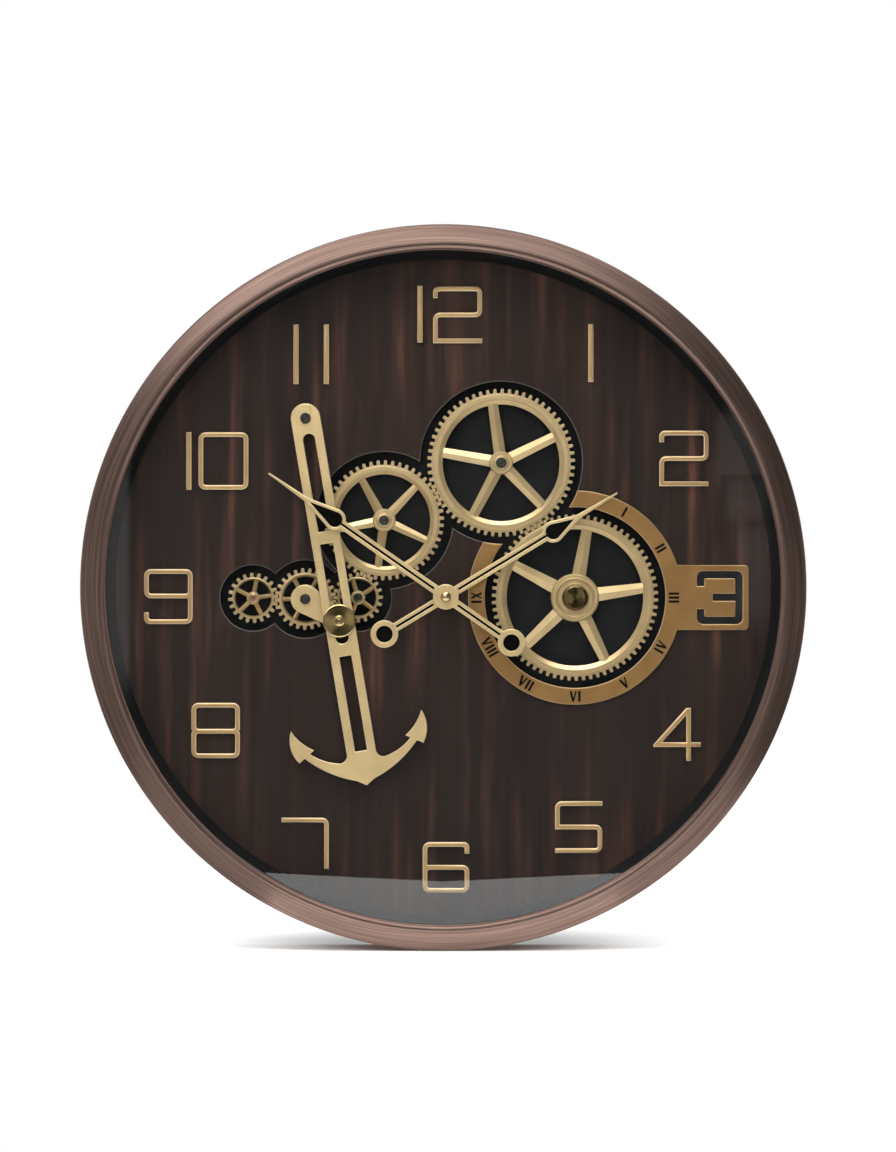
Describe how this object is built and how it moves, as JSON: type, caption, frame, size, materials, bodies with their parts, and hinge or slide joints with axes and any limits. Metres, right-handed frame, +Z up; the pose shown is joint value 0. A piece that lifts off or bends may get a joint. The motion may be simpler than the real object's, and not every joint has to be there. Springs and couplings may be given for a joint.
{
  "type": "gear wall clock",
  "caption": "Round wall clock with a copper-toned case, glass front, dark dial, raised numerals, a visible gear train, a swinging anchor and slotted hands.",
  "frame": {"origin": "top of the hanging slot, in the plane of the wall", "axes": "+Z up the dial towards 12, +Y into the wall, so the dial faces -Y, and +X to the right as seen from the front"},
  "size_m": [0.4, 0.0643, 0.4],
  "materials": {
    "antique_copper": "brushed, antique copper tone",
    "clear_glass": "clear",
    "black_plastic": "matt",
    "dark_wood": "satin, streaked",
    "grey_board": "matt hardboard",
    "pale_brass": "satin",
    "gold": "satin, bevelled",
    "bronze": "satin",
    "dark_steel": "blackened",
    "steel": "zinc plated",
    "copper_screw": "turned",
    "white_plastic": "moulded",
    "enamelled_wire": "wound",
    "cell_wrap": "printed wrap, plain"
  },
  "bodies": {
    "case": {"case_ring": "antique_copper", "glass_pane": "clear_glass", "spacer_ring": "black_plastic", "back_cover": "grey_board", "case_screw_1": "dark_steel", "case_screw_2": "dark_steel", "case_screw_3": "dark_steel", "case_screw_4": "dark_steel", "hanger_plate": "steel", "dial_panel": "dark_wood", "gear_tray": "black_plastic", "tray_screw_1": "dark_steel", "tray_screw_2": "dark_steel", "subdial_ring": "bronze", "numeral_12_one": "gold", "numeral_12_two": "gold", "numeral_1": "gold", "numeral_2": "gold", "numeral_4": "gold", "numeral_5": "gold", "numeral_6": "gold", "numeral_7": "gold", "numeral_8": "gold", "numeral_9": "gold", "numeral_10_one": "gold", "numeral_10_zero": "gold", "numeral_11_left": "gold", "numeral_11_right": "gold", "right_gear_axle": "dark_steel", "upper_gear_axle": "dark_steel", "middle_gear_axle": "dark_steel", "small_right_gear_axle": "dark_steel", "small_centre_gear_axle": "dark_steel", "anchor_pivot_screw": "dark_steel", "movement_case": "black_plastic", "movement_cover": "black_plastic", "movement_nut": "pale_brass", "movement_cell": "cell_wrap", "stepper_coil": "enamelled_wire", "motor_case": "black_plastic", "motor_cell": "cell_wrap"},
    "right_wheel": {"right_gear": "pale_brass"},
    "upper_wheel": {"upper_gear": "pale_brass"},
    "middle_wheel": {"middle_gear": "pale_brass"},
    "small_right_wheel": {"small_right_gear": "pale_brass"},
    "crank_wheel": {"small_centre_gear": "pale_brass", "crank_plate": "pale_brass"},
    "motor_wheel": {"small_left_gear": "pale_brass", "motor_shaft": "copper_screw"},
    "anchor": {"anchor_arm": "pale_brass"},
    "crank_slider": {"crank_disc": "dark_steel", "crank_screw": "pale_brass"},
    "minute": {"minute_hand": "pale_brass", "minute_arbor": "steel", "hand_nut": "pale_brass"},
    "hour": {"hour_hand": "pale_brass", "hour_wheel": "white_plastic"},
    "motion": {"motion_wheel": "white_plastic"},
    "setting": {"set_knob": "white_plastic"}
  },
  "joints": [
    {"name": "right_gear_spin", "type": "hinge", "parent": "case", "child": "right_wheel", "pos_m": [0.07291, -0.035, -0.16467], "axis": [0, -1, 0], "continuous": true},
    {"name": "upper_gear_spin", "type": "hinge", "parent": "case", "child": "upper_wheel", "pos_m": [0.032, -0.035, -0.09], "axis": [0, -1, 0], "continuous": true},
    {"name": "middle_gear_spin", "type": "hinge", "parent": "case", "child": "middle_wheel", "pos_m": [-0.03281, -0.035, -0.12191], "axis": [0, -1, 0], "continuous": true},
    {"name": "small_right_gear_spin", "type": "hinge", "parent": "case", "child": "small_right_wheel", "pos_m": [-0.0473, -0.035, -0.16467], "axis": [0, -1, 0], "continuous": true},
    {"name": "small_centre_gear_spin", "type": "hinge", "parent": "case", "child": "crank_wheel", "pos_m": [-0.07632, -0.035, -0.1655], "axis": [0, -1, 0], "continuous": true},
    {"name": "small_left_gear_spin", "type": "hinge", "parent": "case", "child": "motor_wheel", "pos_m": [-0.10533, -0.035, -0.1649], "axis": [0, -1, 0], "continuous": true},
    {"name": "anchor_swing", "type": "hinge", "parent": "case", "child": "anchor", "pos_m": [-0.0761, -0.045, -0.0656], "axis": [0, -1, 0], "range_deg": [-22.5, 3.3]},
    {"name": "crank_slide", "type": "slide", "parent": "anchor", "child": "crank_slider", "axis": [0.1648, 0, -0.9863], "range_m": [-0.0359, 0.0088]},
    {"name": "minute_turn", "type": "hinge", "parent": "case", "child": "minute", "pos_m": [0.0014, -0.053, -0.1642], "axis": [0, 1, 0], "continuous": true},
    {"name": "hour_turn", "type": "hinge", "parent": "case", "child": "hour", "pos_m": [0.0014, -0.0509, -0.1642], "axis": [0, 1, 0], "continuous": true},
    {"name": "motion_turn", "type": "hinge", "parent": "case", "child": "motion", "pos_m": [0.0014, -0.014, -0.1522], "axis": [0, 1, 0], "continuous": true},
    {"name": "setting_turn", "type": "hinge", "parent": "case", "child": "setting", "pos_m": [0.0134, -0.0041, -0.1522], "axis": [0, 1, 0], "continuous": true}
  ],
  "couplings": [
    {"joint": "upper_gear_spin", "follows": "right_gear_spin", "ratio": -1.129},
    {"joint": "middle_gear_spin", "follows": "right_gear_spin", "ratio": 1.4},
    {"joint": "small_right_gear_spin", "follows": "right_gear_spin", "ratio": -3.5},
    {"joint": "small_centre_gear_spin", "follows": "right_gear_spin", "ratio": 2.8},
    {"joint": "small_left_gear_spin", "follows": "right_gear_spin", "ratio": -3.5},
    {"joint": "hour_turn", "follows": "minute_turn", "ratio": 0.083333},
    {"joint": "motion_turn", "follows": "minute_turn", "ratio": -0.33333},
    {"joint": "setting_turn", "follows": "minute_turn", "ratio": 1}
  ]
}
